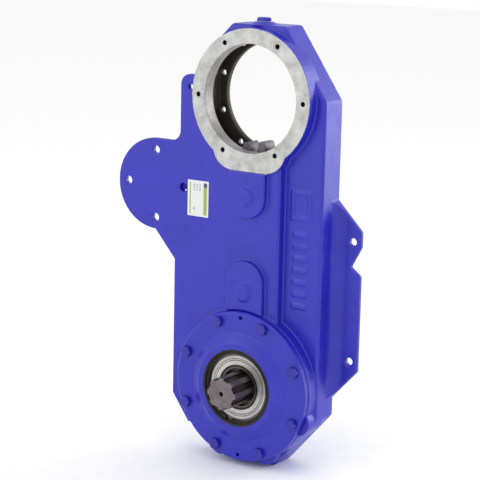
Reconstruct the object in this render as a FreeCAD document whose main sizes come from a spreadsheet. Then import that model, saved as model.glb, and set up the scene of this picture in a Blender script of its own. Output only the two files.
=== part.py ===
# Parallel-shaft drop box: an input ring flange at the top, two idler gears in the
# middle and a splined output shaft at the bottom, in one narrow cast-iron housing.
# Millimetres. +X right, +Y from the front face into the housing, +Z up.
# Origin: centre of the machined input ring, on its front face.
import FreeCAD, Part
import math
import os
import re
import Sketcher
from FreeCAD import Placement, Rotation, Vector

doc = FreeCAD.newDocument("drop_box")
sheet = doc.addObject("Spreadsheet::Sheet", "Sizes")

SIZES = (
    # gear train
    ("centre_distance", 170), ("gear_module", 10), ("gear_teeth", 17), ("tip_radius", 93.5),
    ("root_radius", 72.5), ("gear_front", 31), ("gear_back", 63), ("flank_gap", 0.3),
    ("upper_phase", 4.7),
    # input ring at the top of the housing
    ("ring_radius", 121), ("ring_bore", 94), ("ring_depth", 27), ("input_circle", 107.5),
    ("input_tap", 4.25), ("input_count", 6), ("tap_depth", 22), ("rear_hole", 5.25),
    ("rear_count", 10),
    ("rear_ring", 114.5), ("rear_ring_rise", 2), ("foot_half", 75), ("foot_low", -126), ("foot_round", 40),
    # housing planes from front to back
    ("boss_front", -5), ("pad_front", 5), ("plate_back", 16), ("recess_front", 22),
    ("rear_wall_front", 69), ("housing_back", 78), ("wall", 8), ("pad_wall", 9),
    # housing outline
    ("half_width", 139.5), ("case_round", 9), ("rim_round", 5),
    ("crown_half", 54), ("crown_z", 126), ("shoulder_z", 2.5),
    ("hip_z", -556), ("sole_z", -655), ("step_x", 64), ("nape_x", -118), ("nape_z", 62),
    # front plate, its upper ear and its round lobe on the left
    ("plate_left", -157.5), ("ear_left", -148.8), ("ear_top", 33), ("ear_hole_x", -127.8),
    ("ear_hole_z", 10.5), ("ear_hole", 5.5), ("lobe_x", -202), ("lobe_radius", 82.7),
    ("lobe_circle", 61.5), ("lobe_hole", 7.75), ("ear_round", 19), ("web_depth", 40), ("web_half", 55),
    # side flange on the right, at the back
    ("flange_front", 69), ("flange_right", 190.5), ("flange_hole_x", 174.5), ("flange_hole", 6.75),
    ("flange_high", -238), ("flange_low", -451), ("flange_top", -169), ("flange_bottom", -524),
    ("notch_x", 171), ("notch_z", -283), ("root_round", 22),
    # idler axle bosses
    ("arch_radius", 38), ("arch_low_z", -322), ("dome_radius", 20), ("dome_rise", 5),
    ("axle_radius", 20), ("axle_front", 0), ("axle_flange", 36), ("axle_flange_thick", 8),
    ("axle_screw_circle", 28), ("axle_screws", 3),
    # output cover and its seat
    ("cover_radius", 136), ("cover_face", -13), ("cover_seat", 1), ("cover_bolt_circle", 122.3),
    ("cover_bolts", 8), ("cover_bolt", 6), ("spigot_radius", 105), ("spigot_back", 12),
    ("hub_face", -23), ("hub_radius", 80), ("hub_foot", 98), ("mouth_radius", 68),
    ("jack_circle", 125.6), ("jack_hole", 3.4), ("seat_radius", 137), ("lump_radius", 25),
    # front output bearing
    ("front_outer", 65), ("front_bore", 37.5), ("front_face", -15), ("front_width", 25),
    ("front_ball", 8.7), ("front_pitch", 51.25), ("front_balls", 11), ("front_clip", 4),
    # rear output bearing and its cap
    ("rear_outer", 50), ("rear_bore", 32.5), ("rear_face", 70), ("rear_width", 18),
    ("rear_ball", 5.5), ("rear_pitch", 41.25), ("rear_balls", 13), ("rear_boss", 68),
    ("rear_boss_back", 94), ("cap_thick", 8), ("cap_bolt_circle", 59), ("cap_bolts", 6),
    # idler bearings, two in each idler
    ("idler_outer", 34), ("idler_width", 15), ("idler_ball", 3.9), ("idler_pitch", 27),
    ("idler_balls", 12), ("idler_face", 32), ("idler_clip", 2.5), ("hub_front", 27.5),
    ("hub_back", 66.5), ("hub_outside", 52), ("race_gap", 0.3),
    ("shoulder_share", 0.3), ("cage_share", 0.2),
    # output shaft
    ("spline_radius", 29), ("spline_root", 26), ("spline_half", 5), ("spline_teeth", 8),
    ("shaft_front", -69), ("spline_back", 2), ("lip_front", -14), ("shoulder_radius", 43),
    ("seat_front", 26), ("seat_back", 66), ("gear_seat", 40), ("shaft_back", 91.5),
    ("key_half", 11), ("key_low", 31), ("key_high", 45.2), ("output_hub", 60),
    # small parts
    ("label_left", -130), ("label_right", -85), ("label_low", -218.5), ("label_high", -154),
    ("label_thick", 0.5), ("plug_x", -2), ("plug_y", 44), ("drain_radius", 9),
    ("emblem_x", 98), ("emblem_z", -178), ("emblem_rise", 1.6),
)

for row, (alias, number) in enumerate(SIZES, start=1):
    sheet.set(f"A{row}", alias)
    sheet.set(f"B{row}", str(number))
    sheet.setAlias(f"B{row}", alias)
doc.recompute()

NAMES = {alias for alias, _ in SIZES}
FRONT_PLANE = "XZ_Plane"
SIDE_PLANE = "XY_Plane"
SUBPARTS = []
OUTPUT_Z = "(-3 * centre_distance)"
UPPER_Z = "(-centre_distance)"
LOWER_Z = "(-2 * centre_distance)"


def bound(text):
    """An expression of sheet names, written for another object of the document."""
    return re.sub(r"[a-z_]+", lambda m: "Sizes." + m[0] if m[0] in NAMES else m[0], str(text))


def size(text):
    """The number that an expression of sheet names stands for."""
    value = sheet.evalExpression(str(text))
    return float(getattr(value, "Value", value))


def bind(thing, path, text):
    thing.setExpression(path, bound(text))


def keep(thing, label):
    """Make an object a sub-part: its label names its file."""
    thing.Label = label
    SUBPARTS.append(thing)
    return thing


# ---------------------------------------------------------------- sketches
def new_sketch(body, role, depth):
    sketch = body.newObject("Sketcher::SketchObject", body.Name + "_sketch")
    plane = next(f for f in body.Origin.OriginFeatures if f.Role == role)
    sketch.AttachmentSupport = [(plane, "")]
    sketch.MapMode = "FlatFace"
    if role == FRONT_PLANE:
        bind(sketch, "AttachmentOffset.Base.z", f"-({depth})")
    return sketch


def pin_point(sketch, geometry, point, x, y):
    """Tie one point of a sketch to the sheet, on an axis where its place is zero."""
    for kind, axis, text in (("DistanceX", -2, x), ("DistanceY", -1, y)):
        value = size(text)
        if abs(value) < 1e-6:
            sketch.addConstraint(Sketcher.Constraint("PointOnObject", geometry, point, axis))
            continue
        number = sketch.addConstraint(Sketcher.Constraint(kind, -1, 1, geometry, point, value))
        bind(sketch, f"Constraints[{number}]", text)


def draw_polygon(sketch, corners):
    places = [Vector(size(x), size(y), 0) for x, y in corners]
    first = sketch.GeometryCount
    for here, there in zip(places, places[1:] + places[:1]):
        sketch.addGeometry(Part.LineSegment(here, there), False)
    for step, (x, y) in enumerate(corners):
        line = first + step
        following = first + (step + 1) % len(corners)
        sketch.addConstraint(Sketcher.Constraint("Coincident", line, 2, following, 1))
        pin_point(sketch, line, 1, x, y)


def draw_circle(sketch, x, y, radius):
    centre = Vector(size(x), size(y), 0)
    circle = sketch.addGeometry(Part.Circle(centre, Vector(0, 0, 1), size(radius)), False)
    pin_point(sketch, circle, 3, x, y)
    number = sketch.addConstraint(Sketcher.Constraint("Radius", circle, size(radius)))
    bind(sketch, f"Constraints[{number}]", radius)


def round_places(count, radius, x="0", z="0", start=0):
    """Centres of a bolt circle, as expressions."""
    turns = (start + 360 / size(count) * step for step in range(int(size(count))))
    return [(f"{x} + {radius} * cos({turn} deg)", f"{z} + {radius} * sin({turn} deg)")
            for turn in turns]


# ---------------------------------------------------------------- solids
def slab(name, corners, front, back):
    """A polygon in the XZ plane, extruded from front to back."""
    body = doc.addObject("PartDesign::Body", name)
    sketch = new_sketch(body, FRONT_PLANE, front)
    draw_polygon(sketch, corners)
    return extrude(body, sketch, front, back)


def soften(body, places, radius):
    """Round the edges of a slab that run from front to back at the given places."""
    doc.recompute()
    sharp = body.Tip
    spots = [Vector(size(x), 0, size(z)) for x, z in places]
    names = []
    for number, edge in enumerate(sharp.Shape.Edges, start=1):
        ends = [Vector(end.X, 0, end.Z) for end in edge.Vertexes]
        if any(all(end.distanceToPoint(spot) < 0.01 for end in ends) for spot in spots):
            names.append(f"Edge{number}")
    rounding = body.newObject("PartDesign::Fillet", body.Name + "_rounding")
    rounding.Base = (sharp, names)
    bind(rounding, "Radius", radius)
    return body


def round_rim(body, front, radius, side=None):
    """Round the edges of a slab's front face, or only those that lie on one side of it."""
    doc.recompute()
    sharp = body.Tip
    names = []
    for number, edge in enumerate(sharp.Shape.Edges, start=1):
        ends = edge.Vertexes
        on_front = all(abs(end.Y - size(front)) < 0.01 for end in ends)
        if on_front and (side is None or all(abs(end.X - size(side)) < 0.01 for end in ends)):
            names.append(f"Edge{number}")
    rounding = body.newObject("PartDesign::Fillet", body.Name + "_rim")
    rounding.Base = (sharp, names)
    bind(rounding, "Radius", radius)
    return body


def pegs(name, places, radius, front, back):
    """Equal cylinders along Y at a list of places."""
    body = doc.addObject("PartDesign::Body", name)
    sketch = new_sketch(body, FRONT_PLANE, front)
    for x, z in places:
        draw_circle(sketch, x, z, radius)
    return extrude(body, sketch, front, back)


def extrude(body, sketch, front, back):
    pad = body.newObject("PartDesign::Pad", body.Name + "_pad")
    pad.Profile = sketch
    pad.Reversed = True
    bind(pad, "Length", f"({back}) - ({front})")
    pad.AllowMultiFace = True
    return body


def turned(name, profile, z="0", y="0"):
    """A (radius, depth) profile turned about an axis along Y."""
    body = doc.addObject("PartDesign::Body", name)
    sketch = new_sketch(body, SIDE_PLANE, "0")
    draw_polygon(sketch, profile)
    turn = body.newObject("PartDesign::Revolution", body.Name + "_turn")
    turn.Profile = sketch
    turn.ReferenceAxis = (sketch, ["V_Axis"])
    turn.Angle = 360
    bind(body, "Placement.Base.y", y)
    bind(body, "Placement.Base.z", z)
    return body


def cylinder(name, radius, front, back, x="0", z="0"):
    rod = doc.addObject("Part::Cylinder", name)
    bind(rod, "Radius", radius)
    bind(rod, "Height", f"({back}) - ({front})")
    rod.Placement = Placement(Vector(), Rotation(Vector(1, 0, 0), -90))
    for axis, text in (("x", x), ("y", front), ("z", z)):
        bind(rod, f"Placement.Base.{axis}", text)
    return rod


def block(name, left, right, front, back, low, high):
    box = doc.addObject("Part::Box", name)
    for side, near, far in (("Length", left, right), ("Width", front, back), ("Height", low, high)):
        bind(box, side, f"({far}) - ({near})")
    for axis, text in (("x", left), ("y", front), ("z", low)):
        bind(box, f"Placement.Base.{axis}", text)
    return box


def fuse(name, things):
    union = doc.addObject("Part::MultiFuse", name)
    union.Shapes = things
    union.Refine = True
    return union


def cut(name, base, tool):
    result = doc.addObject("Part::Cut", name)
    result.Base = base
    result.Tool = tool
    return result


def common(name, one, other):
    result = doc.addObject("Part::Common", name)
    result.Base = one
    result.Tool = other
    return result


def ring_profile(inner, outer, front, back):
    return [(inner, front), (outer, front), (outer, back), (inner, back)]


# ---------------------------------------------------------------- housing
def outline(inset):
    """The housing seen from the front, moved inwards by an expression."""
    half = f"half_width - {inset}"
    return [
        (f"-(crown_half - {inset} / 2)", f"crown_z - {inset}"),
        (f"crown_half - {inset} / 2", f"crown_z - {inset}"),
        (half, f"shoulder_z - {inset} / 3"),
        (half, f"hip_z + {inset} / 3"),
        (f"crown_half - {inset} / 2", f"sole_z + {inset}"),
        (f"-(crown_half - {inset} / 2)", f"sole_z + {inset}"),
        (f"-({half})", f"hip_z + {inset} / 3"),
        (f"-({half})", "nape_x / 2"),
        (f"nape_x + {inset}", "nape_x / 4"),
        (f"nape_x + {inset}", f"nape_z - {inset} / 2"),
    ]


def front_plate():
    """The flat front of the left half, which runs on into the ear and the lobe."""
    lobe_low, lobe_high = f"{UPPER_Z} - lobe_radius", f"{UPPER_Z} + lobe_radius"
    neck, ear_corner = ("ear_left", lobe_high), ("ear_left", "ear_top")
    waist = ("plate_left", f"{UPPER_Z} - 133")
    plate = slab("front_plate", [
        ("-1", "-ring_bore"), ("-1", "hip_z - 40"),
        ("nape_x - 4", "hip_z - 46"), ("plate_left", "hip_z + 3"), waist,
        ("lobe_x", lobe_low), ("lobe_x", lobe_high), neck, ear_corner, ("-ring_bore", "ear_top"),
    ], "pad_front", "plate_back")
    soften(plate, [neck, ear_corner], "ear_round")
    lobe = cylinder("lobe", "lobe_radius", "pad_front", "plate_back", "lobe_x", UPPER_Z)
    inside = slab("front_pad", [
        ("step_x", "-ring_bore"), ("step_x", OUTPUT_Z), ("-half_width", OUTPUT_Z),
        ("-half_width", "nape_x / 2"), ("nape_x", "nape_x / 4"), ("nape_x", "ear_top"),
        ("-ring_bore", "ear_top"),
    ], "pad_front", "recess_front + 1")
    round_rim(inside, "pad_front", "rim_round", "step_x")
    return [plate, lobe, inside]


def lobe_webs():
    """Three tapered webs behind the lobe carry its load into the side wall."""
    webs = []
    for step, (place, spread) in enumerate((("web_half", "10"), ("0", "38"), ("-web_half", "10"))):
        web = doc.addObject("Part::Wedge", f"lobe_web_{step + 1}")
        middle = f"{UPPER_Z} + {place}"
        for path, text in (("Xmin", f"lobe_x - {spread}"), ("Xmax", "-half_width + 1"),
                           ("X2min", "-half_width - 6"), ("X2max", "-half_width + 1"),
                           ("Ymin", "plate_back - 1"), ("Ymax", "plate_back + web_depth"),
                           ("Zmin", f"{middle} - 5"), ("Zmax", f"{middle} + 5"),
                           ("Z2min", f"{middle} - 4"), ("Z2max", f"{middle} + 4")):
            bind(web, path, text)
        webs.append(web)
    return webs


def side_flange():
    """The mounting flange on the right, with a round root against the side wall."""
    flange = slab("side_flange", [
        ("half_width - 1", "flange_top + 1"), ("half_width", "flange_top"),
        ("flange_right", "flange_top - 51"), ("flange_right", "notch_z + 36"),
        ("notch_x", "notch_z"), ("flange_right", "notch_z - 15"),
        ("flange_right", "flange_bottom + 56"), ("half_width", "flange_bottom"),
        ("half_width - 1", "flange_bottom - 1"),
    ], "flange_front", "housing_back")
    root = block("root_block", "half_width - 1", "half_width + root_round",
                 "flange_front - root_round", "flange_front + 1", "flange_bottom", "flange_top")
    scoop = doc.addObject("Part::Cylinder", "root_scoop")
    bind(scoop, "Radius", "root_round")
    bind(scoop, "Height", "flange_top - flange_bottom + 20")
    bind(scoop, "Placement.Base.x", "half_width + root_round")
    bind(scoop, "Placement.Base.y", "flange_front - root_round")
    bind(scoop, "Placement.Base.z", "flange_bottom - 10")
    hollowed = cut("root_hollowed", root, scoop)
    reach = slab("root_reach", [
        ("half_width - 1", "flange_top + 1"), ("half_width", "flange_top"),
        ("flange_right", "flange_top - 51"), ("flange_right", "flange_bottom + 56"),
        ("half_width", "flange_bottom"), ("half_width - 1", "flange_bottom - 1"),
    ], "flange_front - root_round", "flange_front + 1")
    return [flange, common("root_fillet", hollowed, reach)]


def arch_bosses():
    """Two raised arches on the front, with a domed end over each idler axle."""
    solids = []
    for name, top, centre, low in (("upper", "foot_low", UPPER_Z, None),
                                   ("lower", "arch_low_z", "arch_low_z", OUTPUT_Z)):
        solids.append(cylinder(f"{name}_arch", "arch_radius", "boss_front", "pad_front + 1",
                               "0", centre))
        ends = (low, centre) if low else (centre, top)
        solids.append(block(f"{name}_arch_leg", "-arch_radius", "arch_radius", "boss_front",
                            "pad_front + 1", *ends))
    for name, centre in (("upper", UPPER_Z), ("lower", LOWER_Z)):
        dome = doc.addObject("Part::Cone", f"{name}_dome")
        bind(dome, "Radius1", "dome_radius - 8")
        bind(dome, "Radius2", "dome_radius")
        bind(dome, "Height", "dome_rise + 1")
        dome.Placement = Placement(Vector(), Rotation(Vector(1, 0, 0), -90))
        bind(dome, "Placement.Base.y", "boss_front - dome_rise")
        bind(dome, "Placement.Base.z", centre)
        solids.append(dome)
    return solids


def emblem():
    """A plain raised emblem cast into the recess: a square frame over seven bars."""
    frame = block("emblem_plate", "emblem_x - 20", "emblem_x + 20", "recess_front - emblem_rise",
                  "recess_front + 1", "emblem_z - 26", "emblem_z + 26")
    window = block("emblem_window", "emblem_x - 13", "emblem_x + 13", "recess_front - emblem_rise - 1",
                   "recess_front", "emblem_z - 19", "emblem_z + 19")
    bars = [
        block(f"emblem_bar_{step}", "emblem_x - 14", "emblem_x + 14",
              "recess_front - emblem_rise", "recess_front + 1",
              f"emblem_z - {55 + 21 * step}", f"emblem_z - {47 + 21 * step}")
        for step in range(7)
    ]
    return [cut("emblem_frame", frame, window)] + bars


def housing_outside():
    case = slab("case", outline("0"), "recess_front", "housing_back")
    soften(case, outline("0")[:8], "case_round")
    round_rim(case, "recess_front", "rim_round")
    collar = cylinder("ring_collar", "ring_radius", "0", "recess_front + 18")
    low_corners = [("-foot_half", "foot_low"), ("foot_half", "foot_low")]
    foot = slab("ring_foot", low_corners + [("foot_half", "-foot_half"), ("-foot_half", "-foot_half")],
                "0", "recess_front + 1")
    soften(foot, low_corners, "foot_round")
    seat = cylinder("cover_seat_disc", "seat_radius", "cover_seat", "recess_front + 20", "0", OUTPUT_Z)
    lumps = pegs("seat_lumps", round_places("cover_bolts", "cover_bolt_circle", "0", OUTPUT_Z, 22.5)[3:],
                 "lump_radius", "cover_seat", "recess_front + 26")
    rear_ring = cylinder("rear_ring_pad", "rear_ring", "housing_back - 1",
                         "housing_back + rear_ring_rise")
    rear_boss = cylinder("rear_bearing_boss", "rear_boss", "rear_wall_front - 1", "rear_boss_back",
                         "0", OUTPUT_Z)
    plug_boss = doc.addObject("Part::Cone", "plug_boss")
    bind(plug_boss, "Radius1", "drain_radius + 18")
    bind(plug_boss, "Radius2", "drain_radius + 8")
    bind(plug_boss, "Height", "6")
    bind(plug_boss, "Placement.Base.x", "plug_x")
    bind(plug_boss, "Placement.Base.y", "plug_y")
    bind(plug_boss, "Placement.Base.z", "crown_z - 2")
    solids = [case, collar, foot, seat, lumps, rear_ring, rear_boss, plug_boss]
    solids += front_plate() + lobe_webs() + side_flange() + arch_bosses() + emblem()
    return fuse("housing_outside", solids)


def housing_inside():
    """Everything that is cored, bored or drilled out of the housing."""
    deep = slab("deep_core", [
        ("step_x - wall", "-ring_bore"), ("step_x - wall", OUTPUT_Z), ("-half_width + wall", OUTPUT_Z),
        ("-half_width + wall", "nape_x / 2"), ("nape_x + wall", "nape_x / 4 - 4"),
        ("nape_x + wall", "-ring_bore / 2"), ("0", "-ring_bore"),
    ], "pad_front + pad_wall", "rear_wall_front")
    ring_wall = cylinder("ring_wall", "ring_radius - 5", "0", "ring_depth")
    deep = cut("deep_core_beside_ring", deep, ring_wall)
    wide = slab("wide_core", outline("wall"), "recess_front + wall - 0.5", "rear_wall_front")
    ring_core = cylinder("ring_core", "ring_radius - 13", "ring_depth", "rear_wall_front")
    ring_bore = cylinder("ring_bore_cut", "ring_bore", "-1", "housing_back + rear_ring_rise + 1")
    taps = pegs("input_taps", round_places("input_count", "input_circle"), "input_tap", "-1",
                "tap_depth")
    rear_holes = pegs("rear_holes", round_places("rear_count", "input_circle", "0", "0", 18),
                      "rear_hole", "rear_wall_front - 1", "housing_back + rear_ring_rise + 1")
    clearance = cylinder("cover_clearance", "seat_radius", "boss_front - 1", "cover_seat", "0", OUTPUT_Z)
    mouth = cylinder("cover_opening", "spigot_radius", "cover_seat - 1", "rear_wall_front", "0", OUTPUT_Z)
    cover_taps = pegs("cover_taps", round_places("cover_bolts", "cover_bolt_circle", "0", OUTPUT_Z, 22.5),
                      "cover_bolt", "cover_seat - 1", "cover_seat + 20")
    lobe_holes = pegs("lobe_holes", round_places("4", "lobe_circle", "lobe_x", UPPER_Z), "lobe_hole",
                      "pad_front - 1", "plate_back")
    lobe_relief = pegs("lobe_relief", round_places("4", "lobe_circle", "lobe_x", UPPER_Z)[1:], "lobe_hole",
                       "plate_back - 1", "plate_back + 30")
    ear = cylinder("ear_drill", "ear_hole", "pad_front - 1", "plate_back + 1", "ear_hole_x", "ear_hole_z")
    flange = pegs("flange_holes", [("flange_hole_x", "flange_high"), ("flange_hole_x", "flange_low")],
                  "flange_hole", "flange_front - 1", "housing_back + 1")
    rear_seat = cylinder("rear_bearing_seat", "rear_outer", "rear_face", "rear_boss_back + 1",
                         "0", OUTPUT_Z)
    rear_way = cylinder("rear_bearing_way", "rear_outer - 5", "rear_wall_front - 2", "rear_face + 1",
                        "0", OUTPUT_Z)
    cap_taps = pegs("cap_taps", round_places("cap_bolts", "cap_bolt_circle", "0", OUTPUT_Z, 30), "4",
                    "rear_boss_back - 18", "rear_boss_back + 1")
    cuts = [deep, wide, ring_core, ring_bore, taps, rear_holes, clearance, mouth, cover_taps, lobe_holes,
            lobe_relief, ear, flange, rear_seat, rear_way, cap_taps]
    for name, centre in (("upper", UPPER_Z), ("lower", LOWER_Z)):
        cuts.append(cylinder(f"{name}_axle_bore", "axle_radius", "axle_front", "housing_back + 1",
                             "0", centre))
        cuts.append(pegs(f"{name}_axle_taps",
                         round_places("axle_screws", "axle_screw_circle", "0", centre, 90), "3",
                         "rear_wall_front + 1", "housing_back + 1"))
    for name, low, high, z in (("fill", "crown_z - wall - 1", "crown_z + 5", "plug_x"),
                               ("drain", "sole_z - 1", "sole_z + wall + 1", "0")):
        hole = doc.addObject("Part::Cylinder", f"{name}_hole")
        bind(hole, "Radius", "drain_radius")
        bind(hole, "Height", f"({high}) - ({low})")
        bind(hole, "Placement.Base.x", z)
        bind(hole, "Placement.Base.y", "plug_y")
        bind(hole, "Placement.Base.z", low)
        cuts.append(hole)
    return fuse("housing_inside", cuts)


keep(cut("housing_casting", housing_outside(), housing_inside()), "housing")


# ---------------------------------------------------------------- fasteners
def compound(name, things):
    group = doc.addObject("Part::Compound", name)
    group.Links = things
    return group


def hex_bolts(label, places, across, head_front, head_back, shank, shank_front, shank_back):
    """Hexagon bolts along Y; the head and the shank are given by their two ends."""
    bolts = []
    for step, (x, z) in enumerate(places, start=1):
        head = doc.addObject("Part::Prism", f"{label}_head_{step}")
        head.Polygon = 6
        bind(head, "Circumradius", f"({across}) / 2 / cos(30 deg)")
        bind(head, "Height", f"({head_back}) - ({head_front})")
        head.Placement = Placement(Vector(), Rotation(Vector(1, 0, 0), -90))
        for axis, text in (("x", x), ("y", head_front), ("z", z)):
            bind(head, f"Placement.Base.{axis}", text)
        rod = cylinder(f"{label}_shank_{step}", shank, shank_front, shank_back, x, z)
        bolts.append(fuse(f"{label}_{step}", [head, rod]))
    return keep(compound(f"{label}_group", bolts), label)


def torus(name, ring, section, depth, z):
    loop = doc.addObject("Part::Torus", name)
    bind(loop, "Radius1", ring)
    bind(loop, "Radius2", section)
    loop.Placement = Placement(Vector(), Rotation(Vector(1, 0, 0), -90))
    bind(loop, "Placement.Base.y", depth)
    bind(loop, "Placement.Base.z", z)
    return loop


# ---------------------------------------------------------------- bearings
def ball_ring(name, count, pitch, radius, depth, z):
    """Balls spaced evenly round an axis along Y."""
    balls = []
    for step, (x, height) in enumerate(round_places(count, pitch, "0", z), start=1):
        ball = doc.addObject("Part::Sphere", f"{name}_{step}")
        bind(ball, "Radius", radius)
        for axis, text in (("x", x), ("y", depth), ("z", height)):
            bind(ball, f"Placement.Base.{axis}", text)
        balls.append(ball)
    return balls


def radial_pockets(name, count, pitch, ball, depth, z):
    """Round holes for the balls, each drilled outwards through a cage band."""
    holes = []
    inner = f"({pitch} - {ball} * 0.6)"
    for step, (x, height) in enumerate(round_places(count, inner, "0", z)):
        hole = doc.addObject("Part::Cylinder", f"{name}_{step + 1}")
        hole.Placement = Placement(Vector(), Rotation(Vector(0, 1, 0), 90 - 360 / size(count) * step))
        bind(hole, "Radius", f"{ball} + 0.2")
        bind(hole, "Height", f"{ball} * 1.2")
        for axis, text in (("x", x), ("y", depth), ("z", height)):
            bind(hole, f"Placement.Base.{axis}", text)
        holes.append(hole)
    return fuse(name, holes)


def ball_bearing(label, bore, outer, faces, width, ball, pitch, count, z, plural=""):
    """Deep-groove bearings side by side: inner rings, outer rings, balls and cages."""
    inner, outside, balls, cages = [], [], [], []
    for row, face in enumerate(faces, start=1):
        name = f"{label}_{row}"
        middle = f"{face} + {width} / 2"
        back = f"{face} + {width} - 0.1"
        groove = torus(f"{name}_groove", pitch, f"{ball} + race_gap", middle, z)
        race = turned(f"{name}_inner_blank",
                      ring_profile(bore, f"{pitch} - {ball} * shoulder_share", face, back), z)
        inner.append(cut(f"{name}_inner", race, groove))
        groove = torus(f"{name}_outer_groove", pitch, f"{ball} + race_gap", middle, z)
        race = turned(f"{name}_outer_blank",
                      ring_profile(f"{pitch} + {ball} * shoulder_share", outer, face, back), z)
        outside.append(cut(f"{name}_outer", race, groove))
        balls += ball_ring(f"{name}_ball", count, pitch, ball, middle, z)
        pockets = radial_pockets(f"{name}_pockets", count, pitch, ball, middle, z)
        band_profile = ring_profile(f"{pitch} - {ball} * cage_share", f"{pitch} + {ball} * cage_share",
                                    f"{middle} - {ball} - 1.2", f"{middle} + {ball} + 1.2")
        band = turned(f"{name}_band", band_profile, z)
        cages.append(cut(f"{name}_cage", band, pockets))
    for kind, solids in (("inner_ring", inner), ("outer_ring", outside), ("cage", cages)):
        keep(compound(f"{label}_{kind}_group", solids), f"{label}_{kind}{plural}")
    keep(compound(f"{label}_balls_group", balls), f"{label}_balls")


def circlip(label, inner, outer, front, back, z, gap_turn):
    """An open snap ring along Y, with its gap towards a given direction."""
    band = turned(f"{label}_band", ring_profile(inner, outer, front, back), z)
    gap = doc.addObject("Part::Box", f"{label}_gap")
    bind(gap, "Length", f"({outer}) + 4")
    bind(gap, "Width", f"({back}) - ({front}) + 2")
    gap.Height = 9
    gap.Placement = Placement(Vector(), Rotation(Vector(0, 1, 0), -gap_turn))
    bind(gap, "Placement.Base.y", f"({front}) - 1")
    bind(gap, "Placement.Base.z", z)
    return cut(f"{label}_ring", band, gap)


# ---------------------------------------------------------------- gears
def tooth_ring(name, z, phase):
    """The toothed rim of a spur gear, its flanks true involutes of a circle."""
    count = int(size("gear_teeth"))
    pitch = size("gear_module * gear_teeth / 2")
    base = pitch * math.cos(math.radians(20))
    tip, root = size("tip_radius"), size("root_radius")
    front, back = size("gear_front"), size("gear_back")

    def involute(radius):
        angle = math.acos(min(1.0, base / radius))
        return math.tan(angle) - angle

    half_pitch = math.pi / 2 / count - size("flank_gap") / 2 / pitch + involute(pitch)

    def place(radius, angle):
        """A point in the XZ plane, its angle counted from +Z towards +X."""
        return Vector(radius * math.sin(angle), front, radius * math.cos(angle))

    radii = [base + (tip - base) * (step / 6) ** 1.5 for step in range(7)]
    edges = []
    for tooth in range(count):
        centre = math.radians(phase) + 2 * math.pi * tooth / count
        following = centre + 2 * math.pi / count
        rising = [place(r, centre - half_pitch + involute(r)) for r in radii]
        falling = [place(r, centre + half_pitch - involute(r)) for r in reversed(radii)]
        for points in (rising, falling):
            flank = Part.BSplineCurve()
            flank.interpolate(points)
            edges.append(flank.toShape())
        edges.insert(-1, Part.Arc(rising[-1], place(tip, centre), falling[0]).toShape())
        trough = place(root, (centre + following) / 2)
        edges.append(Part.Arc(falling[-1], trough, place(base, following - half_pitch)).toShape())
    rim = doc.addObject("Part::Feature", name)
    rim.Shape = Part.Face(Part.Wire(edges)).extrude(Vector(0, back - front, 0))
    rim.Placement = Placement(Vector(0, 0, size(z)), Rotation())
    return rim


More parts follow.
